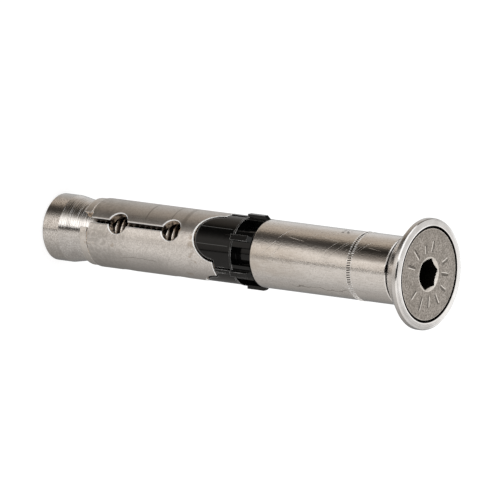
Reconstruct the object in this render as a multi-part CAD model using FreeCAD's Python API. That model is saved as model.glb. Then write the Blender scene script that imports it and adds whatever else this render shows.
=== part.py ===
import FreeCAD, Part
import math
import os

# Sleeve anchor with a countersunk head, for a 15 mm hole.
# A socket screw runs through a countersunk washer, a spacer sleeve, a plastic crush
# ring and a slotted expansion sleeve into a cone nut.
# Millimetres. The anchor stands on the flat end of its cone nut, +Z up to its head.

Vector = FreeCAD.Vector
UP = Vector(0, 0, 1)
CENTRE = Vector(0, 0, 0)
OVERCUT = 1.0

# Cone nut
nut_radius = 7.2
nut_plain_height = 4.3
nut_height = 13.0
nut_end_chamfer = 0.35
cone_half_angle = 10.0
nut_bore_chamfer = 0.5

# Expansion sleeve
sleeve_radius = 7.4
sleeve_wall = 2.0
sleeve_length = 34.85
cone_exposed = 5.8
mouth_lip_height = 1.7
mouth_lip_step = 0.2
mouth_groove_height = 0.4
mouth_groove_depth = 0.3
sleeve_tail_chamfer = 0.12
sleeve_edge_chamfer = 0.2

# Three slots with two relief holes each, and a round notch at the tail
slot_count = 3
first_slot_angle = -90.0
slot_width = 0.95
relief_hole_radius = 2.35
front_hole_height = 9.5
rear_hole_height = 23.55
mouth_notch_width = 3.4
mouth_notch_depth = 2.4
tail_notch_radius = 5.2

# Crush ring
ring_radius = 7.3
shoulder_gap = 0.45
collar_height = 4.7
cage_height = 4.7
tongue_gap = 0.4
tongue_flat_half_angle = 15.5
bead_height = 0.4
bead_step = 0.12
pocket_depth = 1.8
pocket_width = 3.9
rib_width = 1.25
rib_rise = 0.75
rib_run_out = 0.8
toe_length = 2.2
channel_width = 1.6
channel_depth = 0.35
tier_width = 0.8
tier_rise = 0.2

# Spacer sleeve
spacer_radius = 7.29
spacer_wall = 1.9
spacer_length = 35.3
spacer_chamfer = 0.25

# Countersunk washer
washer_radius = 11.85
washer_foot_radius = 7.2
washer_land = 1.45
washer_rim_round = 0.45
washer_foot_chamfer = 0.15
countersink_half_angle = 45.0
washer_rim_width = 1.65
seat_lip_depth = 0.45

# Socket screw with a metric 10 thread, shown at its pitch diameter
thread_pitch_radius = 4.513
thread_length = 40.0
shank_radius = 4.95
head_gap = 0.3
head_recess = 0.1
head_edge_round = 0.2
socket_across_flats = 6.0
socket_depth = 4.4
socket_mouth_radius = 3.6
socket_mouth_half_angle = 60.0
socket_turn = 9.3
drill_half_angle = 60.0
screw_end_inset = 1.2
screw_end_chamfer = 0.7

# Turned rounds are drawn as this many short flats
round_flats = 3

# Clearances between pieces
cone_clearance = 0.05
seat_clearance = 0.05
face_gap = 0.05
thread_clearance = 0.05
ring_clearance = 0.15
washer_clearance = 0.3


def tangent(degrees):
    return math.tan(math.radians(degrees))


# Heights of the stack, from the nut up
mouth_z = nut_plain_height + cone_exposed
tail_z = mouth_z + sleeve_length
collar_z = tail_z + shoulder_gap
cage_z = collar_z + collar_height
bead_z = cage_z - bead_height
cage_top_z = cage_z + cage_height
spacer_z = cage_top_z + face_gap
washer_z = spacer_z + spacer_length + face_gap
washer_cone_height = (washer_radius - washer_foot_radius) / tangent(countersink_half_angle)
face_z = washer_z + washer_cone_height + washer_land

# Radii that follow from a neighbour
seat_mouth_radius = washer_radius - washer_rim_width
head_radius = seat_mouth_radius - head_gap
sleeve_bore = sleeve_radius - sleeve_wall
spacer_bore = spacer_radius - spacer_wall
ring_bore = shank_radius + ring_clearance
washer_bore = shank_radius + washer_clearance
nut_bore = thread_pitch_radius + thread_clearance
pocket_floor = ring_radius - pocket_depth
rib_radius = ring_radius + rib_rise
tongue_flat = ring_radius * math.cos(math.radians(tongue_flat_half_angle))

slot_angles = [first_slot_angle + 360.0 / slot_count * i for i in range(slot_count)]
between_angles = [angle + 180.0 / slot_count for angle in slot_angles]


def cone_radius(z):
    """Radius of the nut's cone at a height."""
    return nut_radius - (z - nut_plain_height) * tangent(cone_half_angle)


def turned(outline):
    """A turned solid from its half outline, given as (radius, height) corners."""
    corners = [Vector(radius, 0, z) for radius, z in outline]
    face = Part.Face(Part.makePolygon(corners + corners[:1]))
    return face.revolve(CENTRE, UP, 360)


def rounded_corner(radius, top_z, size):
    """Outline corners of a turned outer edge that is rounded by this size."""
    corners = []
    for i in range(round_flats + 1):
        turn = math.radians(90.0 * i / round_flats)
        out = size * (1 - math.cos(turn))
        up = size * (1 - math.sin(turn))
        corners.append((radius - out, top_z - up))
    return corners


def cut_edges(solid, radius):
    """Edges that cutters left in a round wall of this radius, without its own rims."""
    found = []
    for edge in solid.Edges:
        points = edge.discretize(7)
        heights = [point.z for point in points]
        on_wall = all(abs(math.hypot(point.x, point.y) - radius) < 1e-4 for point in points)
        if on_wall and max(heights) - min(heights) > 1e-4:
            found.append(edge)
    return found


def turned_about(shape, angle):
    """A copy of a shape that was drawn along +X, swung round the axis."""
    copy = shape.copy()
    copy.rotate(CENTRE, UP, angle)
    return copy


def radial_hole(radius, z, reach):
    """A round cutter from the axis out along +X."""
    return Part.makeCylinder(radius, reach, Vector(0, 0, z), Vector(1, 0, 0))


def radial_slab(width, z_low, z_high, x_low, x_high):
    """A flat-sided block along +X, centred on the XZ plane."""
    size = (x_high - x_low, width, z_high - z_low)
    return Part.makeBox(*size, Vector(x_low, -width / 2, z_low))


def radial_plate(outline, width):
    """A plate along +X from its (radius, height) outline, centred on the XZ plane."""
    corners = [Vector(radius, -width / 2, z) for radius, z in outline]
    face = Part.Face(Part.makePolygon(corners + corners[:1]))
    return face.extrude(Vector(0, width, 0))


def cone_nut():
    """Round nut whose upper part tapers into the mouth of the expansion sleeve."""
    chamfer = nut_end_chamfer
    flare = nut_bore_chamfer
    outline = [
        (nut_bore + flare, 0),
        (nut_radius - chamfer, 0),
        (nut_radius, chamfer),
        (nut_radius, nut_plain_height),
        (cone_radius(nut_height), nut_height),
        (nut_bore + flare, nut_height),
        (nut_bore, nut_height - flare),
        (nut_bore, flare),
    ]
    return turned(outline)


def sleeve_blank():
    """Expansion sleeve before it is slotted, with its taper for the cone."""
    taper_gap = cone_clearance / math.cos(math.radians(cone_half_angle))
    mouth_bore = cone_radius(mouth_z) + taper_gap
    taper_top_z = mouth_z + (mouth_bore - sleeve_bore) / tangent(cone_half_angle)
    lip_radius = sleeve_radius - mouth_lip_step
    lip_z = mouth_z + mouth_lip_height
    groove_radius = sleeve_radius - mouth_groove_depth
    groove_z = lip_z + mouth_groove_height
    edge = sleeve_tail_chamfer
    outline = [
        (mouth_bore, mouth_z),
        (lip_radius, mouth_z),
        (lip_radius, lip_z),
        (groove_radius, lip_z),
        (groove_radius, groove_z),
        (sleeve_radius, groove_z),
        (sleeve_radius, tail_z - edge),
        (sleeve_radius - edge, tail_z),
        (sleeve_bore, tail_z),
        (sleeve_bore, taper_top_z),
    ]
    return turned(outline)


def expansion_sleeve():
    """Sleeve with three slots, a relief hole at each end of them and tail notches."""
    reach = sleeve_radius + OVERCUT
    rear_z = mouth_z + rear_hole_height
    cutters = [
        radial_slab(slot_width, mouth_z - OVERCUT, rear_z, 0, reach),
        radial_slab(mouth_notch_width, mouth_z - OVERCUT, mouth_z + mouth_notch_depth, 0, reach),
        radial_hole(relief_hole_radius, mouth_z + front_hole_height, reach),
        radial_hole(relief_hole_radius, rear_z, reach),
        radial_hole(tail_notch_radius, tail_z, reach),
    ]
    solid = sleeve_blank()
    for angle in slot_angles:
        solid = solid.cut([turned_about(cutter, angle) for cutter in cutters])
    return solid.makeChamfer(sleeve_edge_chamfer, cut_edges(solid, sleeve_radius))


def ring_blank():
    """Collar and cage of the crush ring as one tube with a bead between them."""
    bead_radius = ring_radius + bead_step
    outline = [
        (ring_bore, collar_z),
        (ring_radius, collar_z),
        (ring_radius, bead_z),
        (bead_radius, bead_z),
        (bead_radius, cage_z),
        (ring_radius, cage_z),
        (ring_radius, cage_top_z),
        (ring_bore, cage_top_z),
    ]
    return turned(outline)


def tongue():
    """Round-ended tongue under the collar that fills a tail notch, drawn along +X."""
    radius = tail_notch_radius - tongue_gap
    overlap_z = collar_z + bead_height
    tip_z = tail_z - radius
    height = overlap_z - tip_z
    tube = Part.makeCylinder(ring_radius, height, Vector(0, 0, tip_z))
    bore = Part.makeCylinder(ring_bore, height, Vector(0, 0, tip_z))
    reach = ring_radius + OVERCUT
    shape = radial_hole(radius, tail_z, reach)
    shape = shape.fuse(radial_slab(2 * radius, tail_z, overlap_z, 0, reach))
    return tube.cut(bore).common(shape)


def cage_rib():
    """Rib on a cage web above a tongue, with a toe ramp down to the tongue's flat."""
    root = pocket_floor
    toe_z = bead_z - toe_length
    outline = [
        (root, toe_z),
        (tongue_flat, toe_z),
        (ring_radius, bead_z),
        (rib_radius, bead_z),
        (rib_radius, cage_top_z - rib_run_out),
        (ring_radius, cage_top_z),
        (root, cage_top_z),
    ]
    return radial_plate(outline, rib_width)


def plain_rib():
    """Rib on a cage web between two tongues."""
    root = pocket_floor
    outline = [
        (root, bead_z),
        (rib_radius, bead_z),
        (rib_radius, cage_top_z - rib_run_out),
        (ring_radius, cage_top_z),
        (root, cage_top_z),
    ]
    return radial_plate(outline, rib_width)


def collar_rib():
    """Low rib along the collar, standing in its channel between two tongues."""
    top = ring_radius + tier_rise
    return radial_slab(tier_width, collar_z, bead_z, pocket_floor, top)


def crush_ring():
    """Plastic ring: three tongues, a collar, and a cage of six ribbed webs."""
    reach = rib_radius + OVERCUT
    solid = ring_blank()
    solid = solid.fuse([turned_about(tongue(), angle) for angle in slot_angles])

    flat = radial_slab(2 * ring_radius, mouth_z, bead_z, tongue_flat, reach)
    floor = ring_radius - channel_depth
    channel = radial_slab(channel_width, collar_z - OVERCUT, bead_z, floor, reach)
    core = Part.makeCylinder(pocket_floor, cage_height + OVERCUT, Vector(0, 0, cage_z))
    pocket = radial_slab(pocket_width, cage_z, cage_top_z + OVERCUT, 0, reach).cut(core)
    half_web = 90.0 / slot_count
    pocket_angles = [angle + half_web for angle in slot_angles + between_angles]
    cutters = [turned_about(flat, angle) for angle in slot_angles]
    cutters += [turned_about(channel, angle) for angle in between_angles]
    cutters += [turned_about(pocket, angle) for angle in pocket_angles]
    solid = solid.cut(cutters)

    ribs = [turned_about(cage_rib(), angle) for angle in slot_angles]
    ribs += [turned_about(plain_rib(), angle) for angle in between_angles]
    ribs += [turned_about(collar_rib(), angle) for angle in between_angles]
    return solid.fuse(ribs).removeSplitter()


def spacer_sleeve():
    """Plain tube between the crush ring and the washer."""
    edge = spacer_chamfer
    top_z = spacer_z + spacer_length
    outline = [
        (spacer_bore, spacer_z),
        (spacer_radius - edge, spacer_z),
        (spacer_radius, spacer_z + edge),
        (spacer_radius, top_z - edge),
        (spacer_radius - edge, top_z),
        (spacer_bore, top_z),
    ]
    return turned(outline)


def countersunk_washer():
    """Washer with a conical back for the fixture and a conical seat for the head."""
    slope = tangent(countersink_half_angle)
    land_z = washer_z + washer_cone_height
    seat_top_z = face_z - seat_lip_depth
    seat_bottom_z = seat_top_z - (seat_mouth_radius - washer_bore) / slope
    edge = washer_foot_chamfer
    outline = [
        (washer_bore, washer_z),
        (washer_foot_radius - edge, washer_z),
        (washer_foot_radius, washer_z + edge / slope),
        (washer_radius, land_z + edge / slope),
        *rounded_corner(washer_radius, face_z, washer_rim_round),
        (seat_mouth_radius, face_z),
        (seat_mouth_radius, seat_top_z),
        (washer_bore, seat_bottom_z),
    ]
    return turned(outline)


def screw_blank():
    """Countersunk head, shank and thread before the socket is cut."""
    slope = tangent(countersink_half_angle)
    gap = seat_clearance / math.cos(math.radians(countersink_half_angle))
    top_z = face_z - head_recess
    edge_z = face_z - seat_lip_depth - (head_gap - gap) / slope
    neck_z = edge_z - (head_radius - shank_radius) / slope
    thread_top_z = screw_end_inset + thread_length
    shoulder = shank_radius - thread_pitch_radius
    chamfer = screw_end_chamfer
    outline = [
        (0, screw_end_inset),
        (thread_pitch_radius - chamfer, screw_end_inset),
        (thread_pitch_radius, screw_end_inset + chamfer),
        (thread_pitch_radius, thread_top_z),
        (shank_radius, thread_top_z + shoulder),
        (shank_radius, neck_z),
        (head_radius, edge_z),
        *rounded_corner(head_radius, top_z, head_edge_round),
        (0, top_z),
    ]
    return turned(outline)


def hex_socket():
    """Cutter for the hexagon socket: countersunk mouth, six flats, drilled point."""
    top_z = face_z - head_recess
    floor_z = top_z - socket_depth
    corner_radius = socket_across_flats / 2 / math.cos(math.radians(30))
    corners = []
    for i in range(6):
        turn = math.radians(socket_turn + 60 * i)
        corners.append(Vector(corner_radius * math.cos(turn), corner_radius * math.sin(turn), floor_z))
    flats = Part.Face(Part.makePolygon(corners + corners[:1]))
    prism = flats.extrude(Vector(0, 0, socket_depth + OVERCUT))
    point_radius = socket_across_flats / 2
    point_height = point_radius / tangent(drill_half_angle)
    point = Part.makeCone(0, point_radius, point_height, Vector(0, 0, floor_z - point_height))
    mouth_slope = tangent(socket_mouth_half_angle)
    mouth_height = socket_mouth_radius / mouth_slope
    rim_radius = socket_mouth_radius + OVERCUT * mouth_slope
    mouth = Part.makeCone(0, rim_radius, mouth_height + OVERCUT, Vector(0, 0, top_z - mouth_height))
    return prism.fuse([point, mouth])


def countersunk_screw():
    """Socket screw that joins the head washer to the cone nut."""
    return screw_blank().cut(hex_socket())


pieces = {
    "cone_nut": cone_nut(),
    "expansion_sleeve": expansion_sleeve(),
    "crush_ring": crush_ring(),
    "spacer_sleeve": spacer_sleeve(),
    "countersunk_washer": countersunk_washer(),
    "countersunk_screw": countersunk_screw(),
}

os.makedirs("parts", exist_ok=True)
for name, shape in pieces.items():
    shape.exportStep("parts/" + name + ".step")
    box = shape.optimalBoundingBox()
    print(name, "solids", len(shape.Solids), "volume", round(shape.Volume, 2),
          "from", round(box.ZMin, 3), "to", round(box.ZMax, 3), "valid", shape.isValid())
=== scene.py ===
# %% [markdown]
# # A countersunk sleeve anchor
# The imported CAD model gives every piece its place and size, in metres. The anchor stands on
# the flat end of its cone nut, and +Z runs up to the screw head. This file adds the true
# screw thread, the rolled marks, the finishes, the studio and the camera.

# %% Load the model
import math
import bmesh
import bpy
from mathutils import Matrix, Vector


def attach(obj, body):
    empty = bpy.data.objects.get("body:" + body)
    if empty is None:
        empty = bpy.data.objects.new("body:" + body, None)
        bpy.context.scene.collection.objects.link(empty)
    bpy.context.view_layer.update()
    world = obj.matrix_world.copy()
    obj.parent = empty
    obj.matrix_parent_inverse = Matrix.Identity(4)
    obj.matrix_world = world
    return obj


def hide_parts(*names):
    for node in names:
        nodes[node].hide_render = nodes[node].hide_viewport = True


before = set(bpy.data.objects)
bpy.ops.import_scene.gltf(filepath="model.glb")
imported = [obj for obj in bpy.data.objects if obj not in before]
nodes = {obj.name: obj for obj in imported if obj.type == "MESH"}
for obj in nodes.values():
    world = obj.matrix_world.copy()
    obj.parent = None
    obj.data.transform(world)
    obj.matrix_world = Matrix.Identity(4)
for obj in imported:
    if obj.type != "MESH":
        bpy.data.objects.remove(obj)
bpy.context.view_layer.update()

MM = 0.001
print("nodes:", ", ".join(sorted(nodes)))

# %% [markdown]
# ## Arithmetic on sockets
# A node tree is easier to read as sums. `Signal` stands for the output of a node, and each
# operator on it adds a Math node. `Board` is the tree, and its one method adds any other
# node: its type, its settings, and the values or links of its sockets.

# %% Signal
class Signal:
    """The output of a node. Arithmetic on it adds Math nodes."""

    def __init__(self, board, socket):
        self.board = board
        self.socket = socket

    def math(self, operation, *others):
        return self.board.node("ShaderNodeMath", {"operation": operation}, (self, *others))

    def other(self, name):
        """Another output of the same node."""
        return Signal(self.board, pick(self.socket.node.outputs, name))

    def __add__(self, value):
        return self.math("ADD", value)

    def __sub__(self, value):
        return self.math("SUBTRACT", value)

    def __rsub__(self, value):
        return self.board.node("ShaderNodeMath", {"operation": "SUBTRACT"}, (value, self))

    def __mul__(self, value):
        return self.math("MULTIPLY", value)

    def __truediv__(self, value):
        return self.math("DIVIDE", value)

    def __pow__(self, value):
        return self.math("POWER", value)

    def __lt__(self, value):
        return self.math("LESS_THAN", value)

    def __gt__(self, value):
        return self.math("GREATER_THAN", value)

    __radd__ = __add__
    __rmul__ = __mul__

    def clamp(self):
        """The value held between 0 and 1."""
        return self.board.node("ShaderNodeClamp", {}, (self,))

    def ramp(self, low, high):
        """0 below low and 1 above high, with a smooth step between them."""
        settings = {"interpolation_type": "SMOOTHSTEP"}
        return self.board.node("ShaderNodeMapRange", settings, {0: self, 1: low, 2: high})

# %% Board
def pick(sockets, key):
    """A socket by its number, or the usable one of that name."""
    if isinstance(key, int):
        return sockets[key]
    return [socket for socket in sockets if socket.name == key and socket.enabled][0]


class Board:
    """A node tree that is being wired."""

    def __init__(self, tree):
        self.tree = tree

    def node(self, kind, settings, inputs=(), output=0):
        """Adds a node, makes its settings, fills its sockets and returns an output."""
        made = self.tree.nodes.new(kind)
        for name, value in settings.items():
            if name == "stops":
                place_stops(made.color_ramp, value)
            else:
                setattr(made, name, value)
        filled = inputs if isinstance(inputs, dict) else dict(enumerate(inputs))
        for key, value in filled.items():
            socket = pick(made.inputs, key)
            if isinstance(value, Signal):
                self.tree.links.new(value.socket, socket)
            else:
                socket.default_value = value
        return Signal(self, pick(made.outputs, output)) if made.outputs else made


def place_stops(ramp, stops):
    """Gives a colour ramp its (position, colour) stops."""
    ramp.interpolation = "LINEAR"
    while len(ramp.elements) > 1:
        ramp.elements.remove(ramp.elements[-1])
    ramp.elements[0].position = stops[0][0]
    ramp.elements[0].color = (*stops[0][1], 1)
    for position, colour in stops[1:]:
        ramp.elements.new(position).color = (*colour, 1)

# %% [markdown]
# ## Patterns in millimetres
# Every pattern reads the object's own coordinates, so it stays on the metal when the piece
# turns. One millimetre is a handy unit, because the marks of turning and drawing are a few
# hundredths of it. `angle` runs round the axis, `radius` away from it, and `arc` is the way
# round the wall.

# %% Coordinates and noise
class Surface(Board):
    """The material of one piece, with its coordinates in millimetres."""

    def __init__(self, name):
        self.material = bpy.data.materials.new(name)
        self.material.use_nodes = True
        super().__init__(self.material.node_tree)
        self.tree.nodes.clear()
        metres = self.node("ShaderNodeTexCoord", {}, (), "Object")
        scaling = {"operation": "SCALE"}
        self.place = self.node("ShaderNodeVectorMath", scaling, {0: metres, "Scale": 1 / MM})
        self.x = self.node("ShaderNodeSeparateXYZ", {}, (self.place,), "X")
        self.y = self.x.other("Y")
        self.z = self.x.other("Z")
        self.radius = (self.x * self.x + self.y * self.y) ** 0.5
        self.angle = self.y.math("ARCTAN2", self.x)
        self.arc = self.angle * self.radius

    def noise(self, scale, detail, stretch=(1, 1, 1)):
        """Cloudy values near 0.5. scale is in cells per millimetre."""
        stretching = {"operation": "MULTIPLY"}
        place = self.node("ShaderNodeVectorMath", stretching, (self.place, stretch))
        inputs = {"Vector": place, "Scale": scale, "Detail": detail}
        return self.node("ShaderNodeTexNoise", {}, inputs, "Fac")

    def rings(self, along, scale, detail):
        """Noise that changes only along one coordinate, as a lathe tool leaves it."""
        inputs = {"W": along, "Scale": scale, "Detail": detail}
        return self.node("ShaderNodeTexNoise", {"noise_dimensions": "1D"}, inputs, "Fac")

    def scratches(self, lean, share, seed):
        """Fine scratches, lean degrees off the axis. A larger share shows more of them."""
        lean = math.radians(lean)
        along = self.z * math.cos(lean) + self.arc * math.sin(lean)
        across = self.arc * math.cos(lean) - self.z * math.sin(lean)
        cells_along = 0.09
        cells_across = 4.5
        place = self.node("ShaderNodeCombineXYZ", {}, (
            across * cells_across, along * cells_along, seed))
        inputs = {"Vector": place, "Scale": 1.0, "Detail": 0.5}
        noise = self.node("ShaderNodeTexNoise", {}, inputs, "Fac")
        return noise.ramp(0.74 - share, 0.8 - share)

    def angle_from(self, degrees, period=2 * math.pi):
        """The angle from the nearest repeat of a bearing, which never jumps beside it."""
        away = self.angle - math.radians(degrees)
        return away - (away / period).math("ROUND") * period

    def stripe(self, value, middle, half, soft):
        """1 within half of the middle, falling to 0 over the soft distance."""
        return 1 - (value - middle).math("ABSOLUTE").ramp(half, half + soft)

    def sector(self, bearing, half, soft):
        """1 within half degrees of a bearing, falling to 0 over the soft degrees."""
        away = self.angle_from(bearing)
        return self.stripe(away, 0.0, math.radians(half), math.radians(soft))

    def side_from(self, start, end):
        """Rises from 0 to 1 between two bearings and falls to 0 at the back."""
        rise = self.angle.ramp(math.radians(start), math.radians(end))
        return rise * (1 - self.angle.ramp(0.5, 1.0))

    def mix(self, factor, first, second):
        """A colour between two."""
        colours = [(*value, 1) if isinstance(value, tuple) else value for value in (first, second)]
        inputs = {"Factor": factor, "A": colours[0], "B": colours[1]}
        return self.node("ShaderNodeMix", {"data_type": "RGBA"}, inputs, "Result")

# %% [markdown]
# ## Edges
# A real edge is never sharp: it is broken by a few tenths of a millimetre and catches the
# light as a thin line. A Bevel modifier would change the imported mesh, so the Bevel node
# rounds only the normal near an edge. Where that normal leaves the face's own, the mask is
# 1, and the finishes paint the colour a little lighter there as a highlight. `finish` then
# closes a material with its colour, its roughness and a bump of known depth.

# %% Rounded edges and the finished surface
def rounded(surface, radius):
    """The rounded normal, and a mask that is 1 on an edge and 0 on a face."""
    normal = surface.node("ShaderNodeBevel", {"samples": 8}, {"Radius": radius * MM})
    true_normal = surface.node("ShaderNodeNewGeometry", {}, (), "Normal")
    dotting = {"operation": "DOT_PRODUCT"}
    same = surface.node("ShaderNodeVectorMath", dotting, (normal, true_normal), "Value")
    return normal, (1 - same).ramp(0.01, 0.2)


def finish(surface, colour, roughness, height, normal, depth, **sockets):
    """Closes a material: colour, roughness and a bump of that depth in millimetres."""
    bumping = {"Height": height, "Distance": depth * MM, "Normal": normal}
    inputs = {
        "Base Color": colour,
        "Roughness": roughness,
        "Normal": surface.node("ShaderNodeBump", {}, bumping),
        **sockets,
    }
    shader = surface.node("ShaderNodeBsdfPrincipled", {}, inputs)
    surface.node("ShaderNodeOutputMaterial", {}, (shader,))
    print("finish:", surface.material.name, len(surface.tree.nodes), "nodes")
    return surface.material

# %% [markdown]
# ## Turned steel
# The cone nut comes off a lathe, whose tool leaves fine rings. A picture of rings could be
# wrapped round it, but a noise that changes only along the axis gives rings that close on
# themselves. They are deep on one side of the cone and worn shallow on the other. The plain
# part below was tumbled, so it is grainy instead, and two sides of it are painted darker as
# shade. The thin end of the cone, which lies in the sleeve, is painted dark as shade.

# %% Cone nut finish
cone_foot = 4.2
end_shade_height = 12.0
surface = Surface("turned_steel")
normal, edge = rounded(surface, 0.1)
cone = surface.z.ramp(cone_foot, cone_foot + 0.2)
grain = surface.noise(3.6, 3.0)
tool_marks = surface.rings(surface.z, 4.0, 3.0)
smudge = surface.noise(0.5, 4.0).ramp(0.35, 0.7)
lathe_side = surface.sector(-145, 68, 14)
streaks = cone * (0.25 + lathe_side * 0.75)
# painted shade: two sides of the plain part and the cone's thin end inside the sleeve are darker in
# colour
plain_side_shade = (surface.side_from(-60, -35) * 0.45 + surface.sector(-155, 15, 20) * 0.7) * (1 - cone)
end_shade = surface.z.ramp(end_shade_height, end_shade_height + 0.2)
steel = surface.mix(grain.ramp(0.35, 0.65), (0.42, 0.4, 0.38), (0.68, 0.66, 0.64))
steel = surface.mix(cone * (0.3 + lathe_side * 0.5), steel, (0.68, 0.665, 0.65))
steel = surface.mix(smudge * 0.4, steel, (0.4, 0.38, 0.36))
# painted shade on two sides and at the cone's thin end
steel = surface.mix(plain_side_shade, steel, (0.3, 0.285, 0.265))
steel = surface.mix(end_shade * 0.6, steel, (0.06, 0.05, 0.04))
steel = surface.mix(tool_marks.ramp(0.5, 0.65) * streaks * 0.4, steel, (0.35, 0.33, 0.31))
# painted highlight: the edges are lighter in colour
steel = surface.mix(edge * 0.5, steel, (0.85, 0.84, 0.82))
roughness = 0.12 + smudge * 0.05 - cone * 0.05
height = tool_marks * (0.15 + streaks * 1.15) + grain * (0.8 - streaks * 0.65)
turned_steel = finish(surface, steel, roughness, height, normal, depth=0.026, Metallic=1.0)

# %% [markdown]
# ## Satin steel
# The expansion sleeve is rolled from strip, punched and tumbled, so it is duller than the
# nut. One noise alone would look like fog, so a coarse grain, a mottling and wide stains are
# laid over one another. The marks of its making sit at known places, and each is a mask
# written from the height and the bearing: a thin wrinkle along it, three faint lines across
# one leaf where the forming rolls pressed, and brown spots with a drop near its tail.

# %% Grain and marks of the expansion sleeve
wrinkle_arc = -2.9
wrinkle_height = 25.0
roll_heights = (26.3, 32.7, 36.2)
drop_arc = -9.0
drop_height = 40.0
surface = Surface("satin_steel")
normal, edge = rounded(surface, 0.2)
grain = surface.noise(3.4, 3.0)
cloud = surface.noise(0.3, 4.0)
mottle = surface.noise(1.2, 4.0)
stain = cloud.ramp(0.56, 0.7)
wander = surface.arc + surface.noise(0.35, 3.0) * 2.4
wrinkle = surface.stripe(wander, wrinkle_arc, 0.02, 0.06)
wrinkle = wrinkle * surface.stripe(surface.z, wrinkle_height, 4.0, 2.0)
pressed = surface.stripe(surface.z, roll_heights[0], 0.1, 0.14)
pressed = pressed + surface.stripe(surface.z, roll_heights[1], 0.08, 0.12)
pressed = (pressed + surface.stripe(surface.z, roll_heights[2], 0.3, 0.35) * 0.7).clamp()
pressed = pressed * surface.sector(-128, 17.2, 14.3)
drop = surface.stripe(surface.z + cloud, drop_height, 0.45, 0.5)
drop = drop * surface.stripe(surface.arc, drop_arc, 0.35, 0.6)
brown = surface.noise(0.45, 4.0, (1, 1, 0.8)).ramp(0.66, 0.72)
brown = (brown + drop * mottle.ramp(0.35, 0.55)).clamp()
print("sleeve marks:", len(surface.tree.nodes), "nodes")

# %% [markdown]
# The outer edges and the chamfer are painted as white lines, a highlight that is dimmer
# along the slots. The punch left a brown skin on the walls, and in the holes much of it has
# rubbed off; along the slots the walls are painted darker as shade. The turned lip at the
# mouth is a little brighter, with a line of painted shade in the groove above it. Radius
# and height tell these places apart, so no faces have to be picked by hand.

# %% Edges and walls of the expansion sleeve
slot_end = 36.5
lip_end = 11.75
wall_start = 12.3
third = 2 * math.pi / 3
chamfer = surface.radius.ramp(7.15, 7.2) * (1 - surface.radius.ramp(7.35, 7.38))
chamfer = chamfer * (surface.z > wall_start)
beside_slot = surface.angle_from(-90, third).math("ABSOLUTE") * surface.radius
at_slot = (beside_slot < 0.8) * (surface.z < slot_end)
# painted highlight: white lines on the outer edges and the chamfer, dimmer at the slots
edge_highlight = (edge * 0.6 * surface.radius.ramp(7.0, 7.15) + chamfer).clamp()
edge_highlight = edge_highlight * (1 - at_slot * 0.45)
inside = 1 - surface.radius.ramp(7.05, 7.2)
lit_wall = inside * (1 - at_slot)
# painted shade: the walls are darker in colour along the slots
bare_and_slot_shade = mottle.ramp(0.4, 0.56) * (1 - at_slot * 0.8)
punched = surface.mix(bare_and_slot_shade, (0.06, 0.04, 0.028), (0.78, 0.62, 0.47))
lip = (surface.z < lip_end) * surface.radius.ramp(6.95, 7.05)
# painted shade: a dark line in the groove above the lip
lip_groove_shade = surface.stripe(surface.z, lip_end + 0.2, 0.12, 0.1) * surface.radius.ramp(6.7, 6.8)
print("sleeve edges:", len(surface.tree.nodes), "nodes")

# %% [markdown]
# One of the three leaves is duller than the others, and so is the mouth. Two sides are
# painted darker as shade. The white edge lines and the walls of the holes scatter light
# instead of mirroring the room, so they are made less metallic.

# %% Expansion sleeve finish
dull_leaf = surface.sector(-150, 59, 1.7)
# painted shade: two sides are darker in colour, one of them mostly near the mouth
mouth_side_shade = surface.side_from(-54, -34) * (1 - surface.z.ramp(30.0, 36.0) * 0.7)
low_side = surface.side_from(-38, -4)
dull_mouth = (1 - surface.z.ramp(16.0, 24.0)) * (0.25 + mottle.ramp(0.4, 0.6) * 0.3)
steel = surface.mix(grain.ramp(0.35, 0.65), (0.56, 0.535, 0.51), (0.73, 0.705, 0.68))
steel = surface.mix(mottle.ramp(0.45, 0.75) * 0.25, steel, (0.46, 0.44, 0.415))
steel = surface.mix(dull_leaf * 0.45, steel, (0.3, 0.282, 0.262))
steel = surface.mix(mouth_side_shade * 0.45, steel, (0.3, 0.285, 0.27))
steel = surface.mix(low_side * 0.42, steel, (0.3, 0.285, 0.27))
steel = surface.mix(dull_mouth, steel, (0.3, 0.285, 0.265))
steel = surface.mix(stain * 0.3, steel, (0.36, 0.335, 0.31))
steel = surface.mix(lip * 0.3, steel, (0.8, 0.76, 0.71))
# painted shade in the lip's groove
steel = surface.mix(lip_groove_shade * 0.7, steel, (0.2, 0.17, 0.14))
steel = surface.mix(brown * 0.5, steel, (0.34, 0.28, 0.22))
steel = surface.mix((wrinkle * 0.8 + pressed * 0.65).clamp(), steel, (0.2, 0.18, 0.16))
# painted highlight: the white edge lines
steel = surface.mix(edge_highlight * 0.95, steel, (0.95, 0.94, 0.92))
steel = surface.mix(inside * 0.95, steel, punched)
# painted highlight: the inner edges of the walls are lighter in colour
steel = surface.mix(edge * lit_wall * 0.7, steel, (0.7, 0.6, 0.5))
roughness = 0.3 + cloud * 0.12
height = grain * 0.8 + mottle * 0.5 - wrinkle * 0.8 - pressed * 0.6
metallic = 1 - edge_highlight * 0.85 - lit_wall * 0.55
satin_steel = finish(surface, steel, roughness, height, normal, depth=0.03, Metallic=metallic)

# %% [markdown]
# ## Drawn steel
# The spacer sleeve is cut from bright drawn tube. Drawing leaves lines along the axis, so
# one noise is stretched lengthwise over a fine grain. The rest is handling: fine scratches,
# most of which lean one way, a patch that was rubbed across them, a dark crease and nicks
# beside the rolled band. Under the band, on one side, the tube is darker. A painted picture
# could hold all this too, but masks stay sharp from close by.

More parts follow.
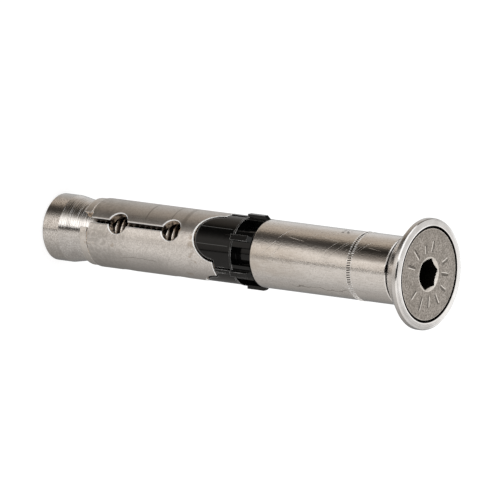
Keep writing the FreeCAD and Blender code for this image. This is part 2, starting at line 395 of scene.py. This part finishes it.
# %% Scratches and marks of the spacer sleeve
crease_arc = -1.0
crease_height = 72.0
nicks_height = 76.4
rubbed_height = 77.8
band_height = 80.6
surface = Surface("drawn_steel")
normal, edge = rounded(surface, 0.35)
lines = surface.noise(4.0, 3.0, (1, 1, 0.12))
grain = surface.noise(2.7, 3.0)
patch = surface.noise(0.3, 4.0, (1, 1, 0.5))
wander = surface.arc + surface.noise(0.45, 3.0) * 2.4
crease = surface.stripe(wander, crease_arc, 0.05, 0.1)
crease = crease * surface.stripe(surface.z, crease_height, 6.0, 3.0)
scratch = surface.scratches(-47, 0.02, 3.0) + surface.scratches(-52, 0.01, 8.0)
scratch = (scratch + surface.scratches(8, 0.01, 5.0)).clamp()
rubbed = surface.stripe(surface.z, rubbed_height, 1.6, 0.6) * surface.sector(-19, 11.5, 5.7)
scratch = (scratch + rubbed * surface.scratches(42, 0.14, 11.0)).clamp()
dark_under_band = surface.stripe(surface.z, band_height, 0.5, 0.2) * surface.sector(-151, 5.7, 5.7)
nicks = surface.stripe(surface.z, nicks_height, 1.0, 0.5) * surface.sector(-140, 5.7, 4.6)
nicks = nicks * surface.noise(1.3, 2.0).ramp(0.48, 0.54)
print("spacer marks:", len(surface.tree.nodes), "nodes")

# %% [markdown]
# A brown tarnish lies near the crush ring, where the tube is also a little rougher. A dark
# stripe of painted shade runs along one side towards the band, and the end under the
# washer is painted black as shade in the joint.

# %% Spacer sleeve finish
joint_shade_height = 90.02
near_ring = 1 - surface.z.ramp(58.0, 74.0)
tarnish = surface.sector(-60, 16, 20) * near_ring * (0.4 + patch.ramp(0.35, 0.6) * 0.6)
# painted shade: a dark stripe along one side towards the band
dark_stripe_shade = surface.sector(-92, 7, 8) * surface.z.ramp(64.0, 88.0)
steel = surface.mix(lines.ramp(0.3, 0.7), (0.6, 0.575, 0.55), (0.67, 0.65, 0.63))
steel = surface.mix(patch.ramp(0.5, 0.75) * 0.3, steel, (0.47, 0.45, 0.43))
steel = surface.mix(grain.ramp(0.48, 0.7) * 0.4, steel, (0.42, 0.4, 0.38))
steel = surface.mix(scratch * 0.45, steel, (0.85, 0.83, 0.81))
steel = surface.mix(dark_stripe_shade * 0.75, steel, (0.12, 0.105, 0.09))
steel = surface.mix(dark_under_band * 0.85, steel, (0.05, 0.045, 0.04))
steel = surface.mix(nicks * 0.8, steel, (0.08, 0.07, 0.06))
steel = surface.mix(tarnish * 0.5, steel, (0.38, 0.33, 0.27))
steel = surface.mix(crease * 0.7, steel, (0.2, 0.175, 0.15))
# painted highlight: the edges are lighter in colour
steel = surface.mix(edge * 0.7, steel, (0.92, 0.9, 0.88))
# painted shade: the end under the washer is black
steel = surface.mix(surface.z.ramp(joint_shade_height, joint_shade_height + 0.08), steel, (0.03, 0.026, 0.022))
roughness = 0.07 + patch * 0.1 + scratch * 0.15 + (1 - surface.z.ramp(56.0, 74.0)) * 0.06
height = lines * 0.2 + grain - scratch * 0.5 - crease * 0.8
drawn_steel = finish(surface, steel, roughness, height, normal, depth=0.03, Metallic=1.0)

# %% [markdown]
# ## The band's finish
# The ticks of the rolled band have near black middles, a painted shade, and only their ends
# shine. The shade is deep on one side of the tube, reaches further along the ticks in front,
# and is thin behind. Two masks say this, one along a tick and one round the tube. A clean
# end is too small to mirror the room, so it is painted pale as a highlight and is only
# partly metallic.

# %% Band finish
surface = Surface("band_steel")
normal = surface.node("ShaderNodeNewGeometry", {}, (), "Normal")
# painted shade: dark tick middles, deeper on one side of the tube
from_middle = (surface.z - band_height).math("ABSOLUTE")
longer = surface.sector(-60, 20.6, 12.6) * 0.24
middle = 1 - (from_middle - longer).ramp(0.16, 0.28)
shade_round_tube = surface.sector(-99, 58.4, 14.3) * 0.95 + 0.05
painted_shade = middle * shade_round_tube * surface.noise(0.7, 2.0).ramp(0.25, 0.45)
# painted highlight: pale tick ends
shine = surface.noise(4.0, 2.0).ramp(0.35, 0.6)
steel = surface.mix(shine, (0.5, 0.48, 0.46), (0.95, 0.94, 0.92))
steel = surface.mix(painted_shade, steel, (0.015, 0.013, 0.012))
grain = surface.noise(6.0, 2.0)
roughness = 0.25 + painted_shade * 0.3
metallic = 0.35 + painted_shade * 0.6
band_steel = finish(surface, steel, roughness, grain, normal, depth=0.01, Metallic=metallic)

# %% [markdown]
# ## Polished steel
# The countersunk washer is turned and then polished. Only very fine rings are left, round
# the rim and on its flat ring, so they follow the radius and the height together. The flat
# ring is not quite flat: it falls a little towards the rim, which a sloping bump gives. The
# land below the rim is duller. A thin painted highlight marks the mouth round the head, and
# the groove inside it is painted dark as shade, as is the joint with the tube.

# %% Washer finish
joint_top = 90.35
seat_wall = 10.24
seat_mouth = 10.38
above_seat = 84.0
land_radius = 11.8
face_height = 96.2
fall_rate = 12
surface = Surface("polished_steel")
normal, edge = rounded(surface, 0.6)
fine_rings = surface.rings(surface.radius + surface.z * 1.3, 6.0, 3.0)
grain = surface.noise(4.0, 3.0)
haze = surface.noise(0.5, 4.0).ramp(0.35, 0.75)
groove = 1 - surface.radius.ramp(seat_wall, seat_wall + 0.06)
groove = groove * (surface.z - surface.radius).ramp(above_seat, above_seat + 0.5)
# painted shade: the groove round the head and the joint with the tube are dark in colour
painted_shade = (groove + 1 - surface.z.ramp(joint_top, joint_top + 0.15)).clamp()
mouth_line = surface.stripe(surface.radius, seat_mouth, 0.05, 0.05) * (surface.z > 96.1)
land = (surface.radius > land_radius) * (surface.z < 95.9)
steel = surface.mix(haze, (0.62, 0.605, 0.59), (0.71, 0.7, 0.69))
steel = surface.mix(grain.ramp(0.5, 0.8) * 0.25, steel, (0.45, 0.44, 0.43))
# painted highlight: the edges and the mouth line are lighter
steel = surface.mix((edge * 0.6 + mouth_line * 0.8).clamp(), steel, (0.98, 0.96, 0.94))
steel = surface.mix(land * 0.5, steel, (0.45, 0.44, 0.43))
steel = surface.mix(painted_shade, steel, (0.02, 0.017, 0.015))
roughness = 0.04 + haze * 0.05 + painted_shade * 0.3 + land * 0.2
face = surface.z.ramp(face_height, face_height + 0.08)
fall = (11.0 - surface.radius) * face * fall_rate
height = fine_rings + grain * 0.4 + fall
polished_steel = finish(surface, steel, roughness, height, normal, depth=0.01, Metallic=1.0)

# %% [markdown]
# ## Forged steel
# The screw is cold-forged, and its head keeps the matt, grainy skin of the die. Short plain
# strokes are stamped round the socket. They are only a fifth of a millimetre deep, so colour
# and bump are enough for them: each cut is painted dark as shade, and the raised lip beside
# it is painted light as a highlight. They are drawn from the angle and the radius: each
# stroke is a thin bar in its own sector, and its ends and its lean differ from sector to
# sector.

# %% Strokes round the socket
sectors = 13
sector_width = 2 * math.pi / sectors
surface = Surface("forged_steel")
turn = surface.angle / sector_width + sectors / 2
sector = turn.math("FLOOR")
chance = surface.node("ShaderNodeTexWhiteNoise", {"noise_dimensions": "1D"}, {"W": sector}, "Value")
other_chance = (chance * 7.3).math("FRACT")
middle = 0.4 + chance * 0.2 + (surface.radius - 6) * (other_chance - 0.5) * 0.06
beside = (turn.math("FRACT") - middle) * surface.radius * sector_width
inner_end = 4.5 + other_chance * 0.8
outer_end = inner_end + 1.7 + chance * 1.4
reach = (surface.radius - inner_end).ramp(0.0, 0.25) * (outer_end - surface.radius).ramp(0.0, 0.25)
reach = reach * (surface.z > 96.0) * (chance > 0.12)
cut = (1 - beside.math("ABSOLUTE").ramp(0.14, 0.3)) * reach
lip = surface.stripe(beside, 0.38, 0.09, 0.12) * reach
print("strokes:", sectors, "sectors,", len(surface.tree.nodes), "nodes")

# %% [markdown]
# The rim of the head, the mouth of the socket and the edges are painted light as highlights.
# The socket itself and the groove outside the rim are painted dark as shade. The thread is
# rolled, so it is brighter and smoother than the head, and the roots between its turns are
# painted dark as shade.

# %% Screw finish
rolled_end = 50.0
near_head = 80.0
head_radius = 9.7
socket_radius = 3.6
below_socket = 88.0
socket_top = 96.13
mouth_slope = 0.577
normal, edge = rounded(surface, 0.15 + (surface.z > near_head) * 0.25)
grain = surface.noise(2.6, 4.0)
cloud = surface.noise(0.6, 4.0)
below_mouth = surface.z < socket_top - (socket_radius - surface.radius) * mouth_slope
socket = (surface.radius < socket_radius - 0.05) * (surface.z > below_socket) * below_mouth
groove = (surface.radius > head_radius) * (surface.z < 96.2)
mouth = (surface.radius < socket_radius + 0.1) * (surface.z > 95.5)
rim_highlight = surface.stripe(surface.radius, head_radius + 0.02, 0.07, 0.06) * (surface.z > 96.1)
# painted highlight: the stroke lips, the head's rim, the edges and the socket's mouth are lighter
bright = (lip + rim_highlight + edge + mouth).clamp()
rolled = 1 - surface.z.ramp(rolled_end, rolled_end + 2.0)
steel = surface.mix(grain.ramp(0.35, 0.65), (0.224, 0.2, 0.176), (0.463, 0.425, 0.385))
steel = surface.mix(cloud.ramp(0.4, 0.7) * 0.5, steel, (0.222, 0.2, 0.174))
# painted shade in the strokes' cuts
steel = surface.mix(cut * 0.75, steel, (0.1, 0.087, 0.075))
steel = surface.mix(bright * 0.7, steel, (0.9, 0.85, 0.79))
# painted shade: the thread's roots are dark, its crests light
crest = surface.mix(surface.radius.ramp(4.5, 4.95), (0.1, 0.083, 0.07), (0.85, 0.8, 0.75))
steel = surface.mix(rolled, steel, crest)
# painted shade: the socket and the groove round the head are near black
steel = surface.mix((socket + groove).clamp(), steel, (0.03, 0.025, 0.021))
roughness = 0.42 + grain * 0.12 - edge * 0.15 - rolled * 0.24
height = grain * 1.2 + cloud * 1.5 - cut * 7.0 + lip * 3.0
forged_steel = finish(surface, steel, roughness, height, normal, depth=0.03, Metallic=1.0)

# %% [markdown]
# ## Black plastic
# The crush ring is moulded in black nylon, with a low sheen and a fine spark-eroded texture.
# Its edges are painted paler as highlights, broken up here and there, and fainter painted
# highlights follow the ledges of the tongues' flats and the round ends of the tongues. The
# edge mask alone would draw every rib alike, so these lines are written from the distance
# to a tongue's middle and to the centre of its round end.

# %% Lines on the tongues
tip_centre = 44.95
tip_radius = 4.66
flat_half = 1.975
toe_half = 1.3
rib_crest = 7.9
surface = Surface("black_plastic")
normal, edge = rounded(surface, 0.14)
from_tongue = surface.angle_from(-90, third)
beside_tongue = from_tongue.math("ABSOLUTE") * surface.radius
sideways = from_tongue.math("SINE") * surface.radius
above_centre = surface.z - tip_centre
from_centre = (sideways * sideways + above_centre * above_centre) ** 0.5
outer = surface.radius > 7.0
ledge = surface.stripe(beside_tongue, flat_half, 0.02, 0.06) * (surface.z < 49.7)
ledge = ledge * (from_centre < 4.5)
tongue_rim = surface.stripe(from_centre, tip_radius, 0.05, 0.06) * (above_centre < 0) * outer
toe = (beside_tongue < toe_half) * (surface.z < 49.65) * (surface.z > 46.0)
shows = outer * (surface.z < 50.15) * (1 - toe) + (surface.radius > rib_crest)
print("tongue lines:", len(surface.tree.nodes), "nodes")

# %% [markdown]
# The flat of each tongue is a little crowned. A bump that is highest in the middle and falls
# to nothing at the flat's edges gives it that soft look.

# %% Crush ring finish
crown_rise = 22.5
# painted highlight: pale lines on the edges, the ledges and the tongues' rims
line_breaks = 0.35 + surface.noise(0.4, 0.0).ramp(0.42, 0.6) * 0.65
pale = (edge.ramp(0.0, 0.4) * shows * line_breaks + ledge * 0.2 + tongue_rim * 0.14).clamp()
texture = surface.noise(5.0, 2.0)
rub = surface.noise(0.9, 4.0).ramp(0.5, 0.75)
plastic = surface.mix(rub, (0.0015, 0.0015, 0.0015), (0.0045, 0.0044, 0.0043))
plastic = surface.mix(pale, plastic, (0.45, 0.44, 0.43))
roughness = 0.08 + rub * 0.1
flat = (beside_tongue < flat_half) * outer * (surface.z < 50.1)
height = texture + (flat_half ** 2 - sideways * sideways) * flat * crown_rise
black_plastic = finish(surface, plastic, roughness, height, normal, depth=0.003, IOR=1.32)

# %% [markdown]
# ## Dressing the CAD pieces
# Four pieces keep their CAD shape. Their faces all point to one material slot, so it is
# enough to put the new finish in the place of the old one.

# %% Put the finishes on the pieces that keep their CAD shape
finishes = {
    "expansion_sleeve": satin_steel,
    "crush_ring": black_plastic,
    "spacer_sleeve": drawn_steel,
    "countersunk_washer": polished_steel,
}
for name, material in finishes.items():
    nodes[name].data.materials.clear()
    nodes[name].data.materials.append(material)
print("finished:", ", ".join(finishes))

# %% [markdown]
# ## A thread ridge with Geometry Nodes
# The CAD screw and nut carry plain cylinders where the thread is. A real thread is one
# ridge wound on a core. A Screw modifier could wind it, but one tree with its sizes as
# inputs serves the screw and the nut alike. It starts from a flat grid: one side runs along
# the helix, the other has five points that go round the ridge's section and meet again. Each
# point is then moved to its radius, angle and height. The ridge fades to nothing at both ends.

# %% The thread tree
def new_tree(name, sizes):
    """A Geometry Nodes tree with a named input for each size, and these inputs."""
    tree = bpy.data.node_groups.new(name, "GeometryNodeTree")
    for size, kind in sizes.items():
        tree.interface.new_socket(size, in_out="INPUT", socket_type="NodeSocket" + kind)
    tree.interface.new_socket("Geometry", in_out="OUTPUT", socket_type="NodeSocketGeometry")
    board = Board(tree)
    given = board.node("NodeGroupInput", {})
    return board, {size: given.other(size) for size in sizes}


def close_tree(board, geometry, material):
    """Ends a tree in real mesh faces with a material."""
    real = board.node("GeometryNodeRealizeInstances", {}, (geometry,))
    painted = board.node("GeometryNodeSetMaterial", {}, {"Geometry": real, "Material": material})
    board.node("NodeGroupOutput", {}, (painted,))
    return board.tree


def thread_tree():
    """A helical ridge on a core, or in a bore where the crest is inside the root."""
    sizes = dict.fromkeys(
        ["Root", "Crest", "Root half", "Crest half", "Pitch", "Start", "Length", "Fade"], "Float")
    sizes |= {"Steps": "Int", "Material": "Material"}
    board, size = new_tree("thread_ridge", sizes)
    grid = board.node("GeometryNodeMeshGrid", {}, {
        "Size X": 1.0, "Size Y": 1.0, "Vertices X": size["Steps"], "Vertices Y": 5})
    place = board.node("GeometryNodeInputPosition", {})
    along = board.node("ShaderNodeSeparateXYZ", {}, (place,), "X") + 0.5
    # The corners 0 to 4 are root, crest, crest, root and the first again. 2 and 3 are above.
    corner = board.node("ShaderNodeSeparateXYZ", {}, (place,), "Y") * 4 + 2
    on_crest = (corner - 1.5).math("ABSOLUTE") < 1
    side = ((corner - 2.5).math("ABSOLUTE") < 1) * 2 - 1
    height = along * size["Length"]
    nearest_end = height.math("MINIMUM", size["Length"] - height)
    fade = (nearest_end / size["Fade"]).clamp()
    radius = size["Root"] + (size["Crest"] - size["Root"]) * on_crest * fade
    half = size["Root half"] + (size["Crest half"] - size["Root half"]) * on_crest
    angle = height / size["Pitch"] * (2 * math.pi)
    point = board.node("ShaderNodeCombineXYZ", {}, (
        radius * angle.math("COSINE"),
        radius * angle.math("SINE"),
        size["Start"] + height + side * half * fade,
    ))
    moved = board.node("GeometryNodeSetPosition", {}, {"Geometry": grid, "Position": point})
    closed = board.node("GeometryNodeMergeByDistance", {}, {"Geometry": moved, "Distance": 1e-6})
    return close_tree(board, closed, size["Material"])

# %% [markdown]
# ## From a tree to a plain mesh
# The export drops live modifiers, so each result is read back as a mesh, its normals are
# turned outwards, and edges sharper than 30 degrees stay crisp.

# %% Evaluate a tree
def smooth(mesh, sharp=30):
    """Smooth faces with crisp edges where they turn more than sharp degrees."""
    mesh.shade_smooth()
    mesh.set_sharp_from_angle(angle=math.radians(sharp))


def outward(mesh):
    """Turns every face outwards."""
    shell = bmesh.new()
    shell.from_mesh(mesh)
    bmesh.ops.recalc_face_normals(shell, faces=shell.faces)
    shell.to_mesh(mesh)
    shell.free()


def grown(name, tree, values):
    """The mesh object that a tree makes from these values."""
    mesh = bpy.data.meshes.new(name)
    maker = bpy.data.objects.new(name, mesh)
    bpy.context.scene.collection.objects.link(maker)
    modifier = maker.modifiers.new("grow", "NODES")
    modifier.node_group = tree
    for item in tree.interface.items_tree:
        if item.in_out == "INPUT":
            modifier[item.identifier] = values[item.name]
    bpy.context.view_layer.update()
    evaluated = maker.evaluated_get(bpy.context.evaluated_depsgraph_get())
    result = bpy.data.meshes.new_from_object(evaluated)
    maker.modifiers.remove(modifier)
    maker.data = result
    result.name = name
    outward(result)
    smooth(result)
    print(name, len(result.polygons), "faces")
    return maker

# %% [markdown]
# ## The screw with its real thread
# The metric thread has a pitch of 1.5 mm and flanks at 60 degrees. The CAD screw is copied,
# its plain thread cylinder is drawn in to the core, and the ridge is wound on it. Seen
# through the relief holes, the ridge shows as slanting bright lines.

# %% Thread sizes
pitch = 1.5
crest_radius = 4.97
core_radius = 4.08
flank = math.tan(math.radians(30))
crest_half = pitch / 16
core_half = crest_half + (crest_radius - core_radius) * flank
plain_radius = 4.513
plain_end = 41.3
overlap = 0.03
thread_start = 1.5
thread_length = 39.4
print("thread: ridge", round(2 * core_half, 3), "mm wide at the core")

# %% Copy a CAD piece and move its points
def rebuilt(node, name, move, sharp=30):
    """A merged copy of a CAD node whose points have been moved by a rule."""
    shell = bmesh.new()
    shell.from_mesh(nodes[node].data)
    bmesh.ops.remove_doubles(shell, verts=shell.verts, dist=1e-7)
    for vertex in shell.verts:
        radius = math.hypot(vertex.co.x, vertex.co.y)
        if radius > 0:
            factor = move(radius / MM, vertex.co.z / MM) * MM / radius
            vertex.co.x *= factor
            vertex.co.y *= factor
    mesh = bpy.data.meshes.new(name)
    corners = [vertex.co.copy() for vertex in shell.verts]
    shell.verts.index_update()
    faces = [[vertex.index for vertex in face.verts] for face in shell.faces]
    mesh.from_pydata(corners, [], faces)
    shell.free()
    smooth(mesh, sharp)
    piece = bpy.data.objects.new(name, mesh)
    bpy.context.scene.collection.objects.link(piece)
    print(name, len(faces), "faces from", node)
    return piece

# %% Make the screw
tree = thread_tree()


def draw_in(radius, z):
    """The thread cylinder and its end chamfer shrink to the core."""
    on_thread = z < plain_end and radius < plain_radius + 0.01
    return radius - (plain_radius - core_radius) if on_thread else radius


screw = rebuilt("countersunk_screw", "screw", draw_in)
screw.data.materials.append(forged_steel)
screw_thread = grown("screw_thread", tree, {
    "Root": (core_radius - overlap) * MM,
    "Crest": crest_radius * MM,
    "Root half": (core_half + overlap * flank) * MM,
    "Crest half": crest_half * MM,
    "Pitch": pitch * MM,
    "Start": thread_start * MM,
    "Length": thread_length * MM,
    "Fade": 1.2 * MM,
    "Steps": 1260,
    "Material": forged_steel,
})

# %% [markdown]
# ## The nut with its real thread
# The nut's ridge points inwards and fills the groove between two turns of the screw's, half
# a pitch further on. Cutting that groove with a Boolean leaves ragged faces at both ends, so
# the bore is opened to the root and the same tree winds the ridge in it. The two stay in
# mesh as the screw turns, because the nut travels one pitch a turn.

# %% Make the nut
wall_radius = 5.02
inner_crest = 4.19
play = 0.02
nut_bore = 4.563
bore_chamfer = 0.6


def ridge_half(radius):
    """Half the width of the nut's ridge, in the groove of the screw's thread."""
    return pitch / 2 - crest_half - (crest_radius - radius) * flank - play


def open_up(radius, z):
    """The nut's bore and its chamfers grow to the outer diameter of the thread."""
    return max(radius, wall_radius) if radius < nut_bore + bore_chamfer else radius


nut = rebuilt("cone_nut", "nut", open_up, sharp=8)
nut.data.materials.append(turned_steel)
nut_thread = grown("nut_thread", tree, {
    "Root": (wall_radius + overlap) * MM,
    "Crest": inner_crest * MM,
    "Root half": ridge_half(wall_radius) * MM,
    "Crest half": ridge_half(inner_crest) * MM,
    "Pitch": pitch * MM,
    "Start": (thread_start - pitch / 2) * MM,
    "Length": 7 * pitch * MM,
    "Fade": 0.8 * MM,
    "Steps": 338,
    "Material": turned_steel,
})

# %% [markdown]
# ## The rolled band
# A narrow band of short ticks is rolled round the spacer sleeve near the head. An array with
# a curve could bend them round, but instances are simpler: one tick is a low bar with
# sloping sides, a cube whose top is drawn in, and Geometry Nodes puts a copy on each corner
# of a ring, turns it outwards and slants it.

# %% The band tree
def band_tree():
    """A ring of low slanted bars round the axis."""
    narrower_top = 0.4
    shorter_top = 0.1
    sizes = dict.fromkeys(["Radius", "Height", "Rise", "Width", "Reach", "Slant"], "Float")
    sizes |= {"Count": "Int", "Material": "Material"}
    board, size = new_tree("rolled_band", sizes)
    ring = board.node("GeometryNodeMeshCircle", {}, {
        "Vertices": size["Count"], "Radius": size["Radius"]})
    lift = board.node("ShaderNodeCombineXYZ", {}, (0.0, 0.0, size["Height"]))
    ring = board.node("GeometryNodeSetPosition", {}, {"Geometry": ring, "Offset": lift})
    place = board.node("GeometryNodeInputPosition", {})
    cube = board.node("GeometryNodeMeshCube", {}, {"Size": (1, 1, 1)})
    corner = board.node("ShaderNodeSeparateXYZ", {}, (place,), "X")
    top = corner.other("Z") > 0
    drawn_in = board.node("ShaderNodeCombineXYZ", {}, (
        corner * (1 - top * narrower_top),
        corner.other("Y") * (1 - top * shorter_top),
        corner.other("Z"),
    ))
    bar = board.node("GeometryNodeSetPosition", {}, {"Geometry": cube, "Position": drawn_in})
    scale = board.node("ShaderNodeCombineXYZ", {}, (size["Width"], size["Reach"], size["Rise"]))
    slant = board.node("ShaderNodeCombineXYZ", {}, (0.0, 0.0, size["Slant"]))
    bar = board.node("GeometryNodeTransform", {}, {
        "Geometry": bar, "Scale": scale, "Rotation": slant})
    flat = board.node("ShaderNodeVectorMath", {"operation": "MULTIPLY"}, (place, (1, 1, 0)))
    standing = board.node("FunctionNodeAlignRotationToVector", {"axis": "Y"}, {"Vector": (0, 0, 1)})
    facing = board.node("FunctionNodeAlignRotationToVector", {"axis": "Z", "pivot_axis": "Y"}, {
        "Rotation": standing, "Vector": flat})
    ticks = board.node("GeometryNodeInstanceOnPoints", {}, {
        "Points": ring, "Instance": bar, "Rotation": facing})
    return close_tree(board, ticks, size["Material"])

# %% Roll the band
spacer_band = grown("spacer_band", band_tree(), {
    "Radius": 7.29 * MM,
    "Height": band_height * MM,
    "Rise": 0.14 * MM,
    "Width": 0.26 * MM,
    "Reach": 1.42 * MM,
    "Slant": math.radians(8),
    "Count": 88,
    "Material": band_steel,
})

# %% [markdown]
# ## What moves with what
# Every new piece rides on the body of the CAD node it belongs to, and the two rebuilt pieces
# stand in for theirs. Parents could be set by hand, but a piece that names its body is moved
# with it at every pose.

# %% Ride
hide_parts("countersunk_screw")
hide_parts("cone_nut")
riders = {
    "screw": (screw, screw_thread),
    "nut": (nut, nut_thread),
    "spacer": (spacer_band,),
}
for body, pieces in riders.items():
    for piece in pieces:
        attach(piece, body)
print("riding:", {body: len(pieces) for body, pieces in riders.items()})

# %% [markdown]
# ## Floor and background
# The floor is pale and matt. Seen by the camera it also glows a little, just enough to
# reach white where nothing shades it, so the background is white and the soft shadow stays.
# The metal doesn't mirror it, so the room alone decides what the walls reflect.

# %% Floor
def floor_material():
    """Matt white that the camera sees as pure white outside a shadow."""
    material = bpy.data.materials.new("floor")
    material.use_nodes = True
    board = Board(material.node_tree)
    material.node_tree.nodes.clear()
    matt = board.node("ShaderNodeBsdfDiffuse", {}, {"Color": (0.8, 0.8, 0.8, 1)})
    glow = board.node("ShaderNodeEmission", {}, {"Strength": 1.4})
    camera_ray = board.node("ShaderNodeLightPath", {}, (), "Is Camera Ray")
    both = board.node("ShaderNodeMixShader", {}, (camera_ray * 0.5, matt, glow))
    board.node("ShaderNodeOutputMaterial", {}, (both,))
    return material


floor_mesh = bpy.data.meshes.new("floor")
span = 4.0
floor_mesh.from_pydata(
    [(-span, -span, 0), (span, -span, 0), (span, span, 0), (-span, span, 0)], [], [(0, 1, 2, 3)])
floor_mesh.materials.append(floor_material())
floor = bpy.data.objects.new("floor", floor_mesh)
floor.visible_glossy = False
bpy.context.scene.collection.objects.link(floor)
print("floor:", 2 * span, "m wide")

# %% [markdown]
# ## The studio that the metal reflects
# Bare metal has no look of its own: it shows the room. Lamps and screens could be placed
# round the anchor, but a room written as the light from each bearing puts every reflection
# where it belongs. It is a soft white tent with one dark gap, a bright window beside it and
# a dimmer side. Bearings count from the side that faces the camera. The upright walls of
# the anchor see the lower ring of the room, its cone sees the upper ring, its rounded rims
# see the middle with the camera's dark shape, and its head sees the ceiling. Matt surfaces
# get plain even light.

# %% Light by bearing
# Each entry is a bearing in degrees, the light from there, and how warm it is.
lower_room = [
    (-180, 0.42, 0.0), (-165, 0.52, 0.0), (-150, 0.78, 0.01), (-138, 0.86, 0.02),
    (-122, 0.74, 0.06), (-110, 0.62, 0.11), (-88, 0.53, 0.16),
    (-80, 0.38, 0.17), (-70, 0.11, 0.17), (-60, 0.065, 0.12), (-50, 0.09, 0.10),
    (-44, 0.16, 0.09), (-38, 0.34, 0.08), (-30, 0.70, 0.08), (-23, 1.08, 0.07),
    (-2, 0.98, 0.08), (13, 0.80, 0.08), (14.5, 0.14, 0.07), (17, 0.14, 0.07), (18.5, 0.90, 0.05),
    (40, 0.90, 0.05), (60, 0.80, 0.045), (80, 0.70, 0.04), (90, 0.57, 0.04), (105, 0.52, 0.05),
    (120, 0.45, 0.05), (135, 0.37, 0.04), (148, 0.30, 0.03), (160, 0.28, 0.0), (170, 0.34, 0.0),
    (180, 0.42, 0.0),
]
upper_room = [
    (-180, 0.50, 0.0), (-165, 0.72, 0.0), (-144, 0.66, 0.03), (-120, 0.52, 0.08),
    (-104, 0.36, 0.13), (-96, 0.17, 0.15), (-88, 0.09, 0.13), (-76, 0.05, 0.12),
    (-60, 0.06, 0.12), (-49, 0.14, 0.10), (-41, 0.40, 0.08), (-34, 1.00, 0.05),
    (-27, 1.70, 0.03), (-14, 2.10, 0.02), (-4, 2.05, 0.02), (-2, 0.03, 0.06), (8, 0.03, 0.07),
    (10, 0.50, 0.07), (20, 0.88, 0.05), (40, 0.84, 0.04), (60, 0.68, 0.04), (84, 0.56, 0.04),
    (108, 0.36, 0.04), (130, 0.22, 0.03), (150, 0.13, 0.02), (166, 0.15, 0.0), (180, 0.50, 0.0),
]
middle_room = [
    (-180, 1.40, 0.0), (-168, 1.20, 0.0), (-150, 0.15, 0.05), (-104, 0.10, 0.1),
    (-97, 1.60, 0.0), (-22, 1.80, 0.0), (-17, 0.02, 0.05), (17, 0.02, 0.05), (22, 1.25, 0.03),
    (90, 1.00, 0.03), (130, 0.50, 0.0), (150, 0.20, 0.0), (168, 1.30, 0.0), (180, 1.40, 0.0),
]
ceiling = [
    (-180, 1.05, 0.02), (-174, 0.92, 0.02), (-168, 0.84, 0.02), (-150, 0.86, 0.02),
    (-110, 0.90, 0.02), (-97, 1.50, 0.0), (-22, 1.60, 0.0), (-17, 0.02, 0.05), (17, 0.02, 0.05),
    (22, 1.25, 0.03), (90, 1.00, 0.03), (150, 0.86, 0.02), (168, 0.66, 0.02), (171, 0.66, 0.02),
    (175.5, 1.45, 0.02), (180, 1.05, 0.02),
]
camera_bearing = math.radians(-72)
facing_camera = Vector((math.cos(camera_bearing), math.sin(camera_bearing), 0))
across_camera = Vector((-math.sin(camera_bearing), math.cos(camera_bearing), 0))


def walls(board, turn, lights):
    """The colour of the room at a turn from 0 to 1 round the anchor."""
    stops = []
    for bearing, light, warmth in lights:
        colour = (light * (1 + warmth), light, light * (1 - warmth))
        stops.append((bearing / 360 + 0.5, colour))
    return board.node("ShaderNodeValToRGB", {"stops": stops}, (turn,), "Color")

# %% Build the room
world = bpy.data.worlds.new("studio")
world.use_nodes = True
bpy.context.scene.world = world
room = Board(world.node_tree)
world.node_tree.nodes.clear()
bearing = room.node("ShaderNodeTexCoord", {}, (), "Generated")
dotting = {"operation": "DOT_PRODUCT"}
toward = room.node("ShaderNodeVectorMath", dotting, (bearing, facing_camera), "Value")
across = room.node("ShaderNodeVectorMath", dotting, (bearing, across_camera), "Value")
turn = across.math("ARCTAN2", toward) / (2 * math.pi) + 0.5
rise = room.node("ShaderNodeSeparateXYZ", {}, (bearing,), "Z")
tent = walls(room, turn, lower_room)
# Each zone fades in between two heights, which run from -1 straight down to 1 straight up.
zones = ((-0.47, -0.36, upper_room), (-0.14, -0.06, middle_room), (0.33, 0.45, ceiling))
for start, end, lights in zones:
    tent = room.node("ShaderNodeMix", {"data_type": "RGBA"}, {
        "Factor": rise.ramp(start, end), "A": tent, "B": walls(room, turn, lights)}, "Result")
glossy_ray = room.node("ShaderNodeLightPath", {}, (), "Is Glossy Ray")
seen = room.node("ShaderNodeMix", {"data_type": "RGBA"}, {
    "Factor": glossy_ray, "A": (1, 1, 1, 1), "B": tent}, "Result")
background = room.node("ShaderNodeBackground", {}, {"Color": seen, "Strength": 1.0})
room.node("ShaderNodeOutputWorld", {}, (background,))
counts = [len(lights) for lights in (lower_room, upper_room, middle_room, ceiling)]
print("room:", counts, "bearings,", len(room.tree.nodes), "nodes")

# %% [markdown]
# ## Camera
# The camera's place was worked out from the ellipses of the round pieces. It looks down at
# the standing anchor from 35 degrees and is rolled on its side, so the anchor lies across
# the picture. A long lens from 2.5 m away keeps both ends nearly the same size.

# %% Place the camera
steepness = math.radians(54.71)
roll = math.radians(7.459)
distance = 2.467
head_right = 37.59 * MM
head_below = 5.13 * MM
head_centre = Vector((0, 0, 96.3 * MM))
up = Vector((0, 0, 1))
right = (-math.cos(roll) * math.cos(steepness) * facing_camera
         - math.sin(roll) * across_camera + math.cos(roll) * math.sin(steepness) * up)
down = (-math.sin(roll) * math.cos(steepness) * facing_camera
        + math.cos(roll) * across_camera + math.sin(roll) * math.sin(steepness) * up)
away = -math.sin(steepness) * facing_camera - math.cos(steepness) * up
eye = head_centre - right * head_right - down * head_below - away * distance

lens = bpy.data.cameras.new("camera")
lens.lens = 846.9
lens.sensor_width = 36
lens.clip_end = 50
camera = bpy.data.objects.new("camera", lens)
turned = Matrix((right, -down, -away)).transposed().to_4x4()
camera.matrix_world = Matrix.Translation(eye) @ turned
bpy.context.scene.collection.objects.link(camera)
bpy.context.scene.camera = camera
bpy.context.scene.view_settings.view_transform = "Standard"
print("camera at", [round(value, 4) for value in eye])
